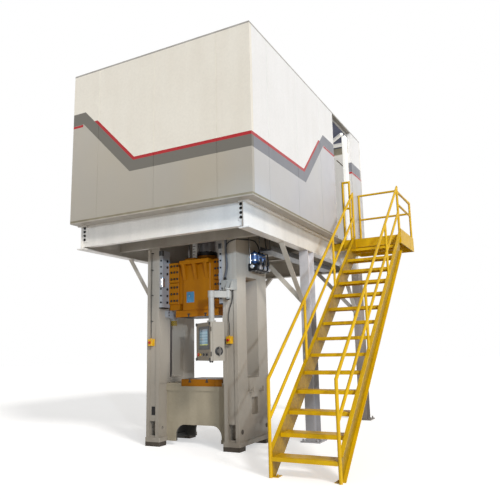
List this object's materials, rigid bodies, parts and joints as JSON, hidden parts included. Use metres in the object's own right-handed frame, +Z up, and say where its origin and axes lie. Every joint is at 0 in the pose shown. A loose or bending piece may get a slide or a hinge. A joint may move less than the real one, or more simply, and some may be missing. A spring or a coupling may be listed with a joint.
{
  "type": "hydraulic press",
  "caption": "Hydraulic press between two side frames under a raised steel deck with a panelled enclosure, a swinging control pendant, and a steel stair with landing.",
  "frame": {"origin": "on the floor at the middle of the press, which is the centre of its four anchor bolts", "axes": "+Z up, +Y from the press front to its back, +X to the right along the press front"},
  "size_m": [4.137, 5.298, 5.6],
  "materials": {
    "frame_paint": "satin",
    "rail_paint": "satin",
    "pad_dark": "matte",
    "slide_paint": "satin",
    "tool_steel": "ground",
    "ram_chrome": "polished",
    "black_steel": "satin",
    "scale_white": "satin",
    "guard_paint": "matte",
    "stop_yellow": "gloss",
    "button_red": "gloss",
    "button_black": "matte",
    "box_paint": "satin",
    "screen_plastic": "gloss",
    "deck_paint": "satin",
    "galvanised": "satin",
    "panel_white": "satin",
    "unit_paint": "satin",
    "stair_yellow": "satin",
    "cable_black": "matte"
  },
  "bodies": {
    "base": {"side_frame_left": "frame_paint", "side_frame_right": "frame_paint", "bed": "frame_paint", "bed_side_shelves": "frame_paint", "gibs_left": "frame_paint", "gibs_right": "frame_paint", "ledge_bracket": "frame_paint", "pendant_bracket": "frame_paint", "crown": "frame_paint", "base_rails": "rail_paint", "levelling_pads": "pad_dark", "hook_bracket": "pad_dark", "valve_manifold": "pad_dark", "bolster": "tool_steel", "accumulators": "black_steel", "main_cylinder": "black_steel", "rear_guard": "guard_paint", "stop_box_left": "stop_yellow", "stop_box_right": "stop_yellow", "side_beams": "deck_paint", "front_beam": "deck_paint", "cross_beams": "deck_paint", "deck": "deck_paint", "columns_front": "deck_paint", "columns_rear": "deck_paint", "knee_braces": "deck_paint", "cable_tray": "galvanised", "wall_front": "panel_white", "wall_left": "panel_white", "wall_right": "panel_white", "wall_rear": "panel_white", "roof": "panel_white", "hydraulic_unit": "unit_paint", "stringer_left": "stair_yellow", "stringer_right": "stair_yellow", "stair_treads": "stair_yellow", "stair_rails": "stair_yellow", "landing": "stair_yellow", "landing_guard": "stair_yellow", "stop_cable_left": "cable_black", "stop_cable_right": "cable_black", "pendant_conduit": "cable_black", "top_hose": "cable_black"},
    "slide": {"slide": "slide_paint", "slide_gib_plates": "slide_paint", "main_rod": "ram_chrome", "rod_ring": "black_steel", "side_rod": "ram_chrome", "scale_bar": "scale_white"},
    "arm": {"pendant_arm": "frame_paint", "drop_tube": "frame_paint"},
    "control_box": {"pendant_box": "box_paint", "pendant_screen": "screen_plastic"},
    "left_stop_button": {"stop_button_left": "button_red"},
    "right_stop_button": {"stop_button_right": "button_red"},
    "box_stop_button": {"pendant_stop_button": "button_red"},
    "yellow_button": {"push_button_yellow": "stop_yellow"},
    "black_button": {"push_button_black": "button_black"},
    "selector": {"pendant_selector": "button_black"},
    "disconnect": {"disconnect_handle": "button_red"}
  },
  "joints": [
    {"name": "slide_stroke", "type": "slide", "parent": "base", "child": "slide", "axis": [0, 0, 1], "range_m": [-0.61, 0]},
    {"name": "arm_swing", "type": "hinge", "parent": "base", "child": "arm", "pos_m": [0.69, -0.56, 2.155], "axis": [0, 0, 1], "range_deg": [-20, 80]},
    {"name": "box_turn", "type": "hinge", "parent": "arm", "child": "control_box", "pos_m": [0.54374, -0.76888, 1.764], "axis": [0, 0, 1], "range_deg": [-25, 30]},
    {"name": "left_stop_push", "type": "slide", "parent": "base", "child": "left_stop_button", "axis": [0, 1, 0], "range_m": [0, 0.005], "stiffness_N_per_m": 900},
    {"name": "right_stop_push", "type": "slide", "parent": "base", "child": "right_stop_button", "axis": [0, 1, 0], "range_m": [0, 0.005], "stiffness_N_per_m": 900},
    {"name": "box_stop_push", "type": "slide", "parent": "control_box", "child": "box_stop_button", "axis": [0.5736, 0.8192, 0], "range_m": [0, 0.005], "stiffness_N_per_m": 900},
    {"name": "yellow_push", "type": "slide", "parent": "control_box", "child": "yellow_button", "axis": [0.5736, 0.8192, 0], "range_m": [0, 0.005], "stiffness_N_per_m": 900},
    {"name": "black_push", "type": "slide", "parent": "control_box", "child": "black_button", "axis": [0.5736, 0.8192, 0], "range_m": [0, 0.005], "stiffness_N_per_m": 900},
    {"name": "selector_turn", "type": "hinge", "parent": "control_box", "child": "selector", "pos_m": [0.57829, -0.94445, 1.322], "axis": [0.5736, 0.8192, 0], "range_deg": [-45, 45]},
    {"name": "disconnect_turn", "type": "hinge", "parent": "control_box", "child": "disconnect", "pos_m": [0.74681, -0.91473, 1.365], "axis": [0.8192, -0.5736, 0], "range_deg": [0, 90]}
  ]
}
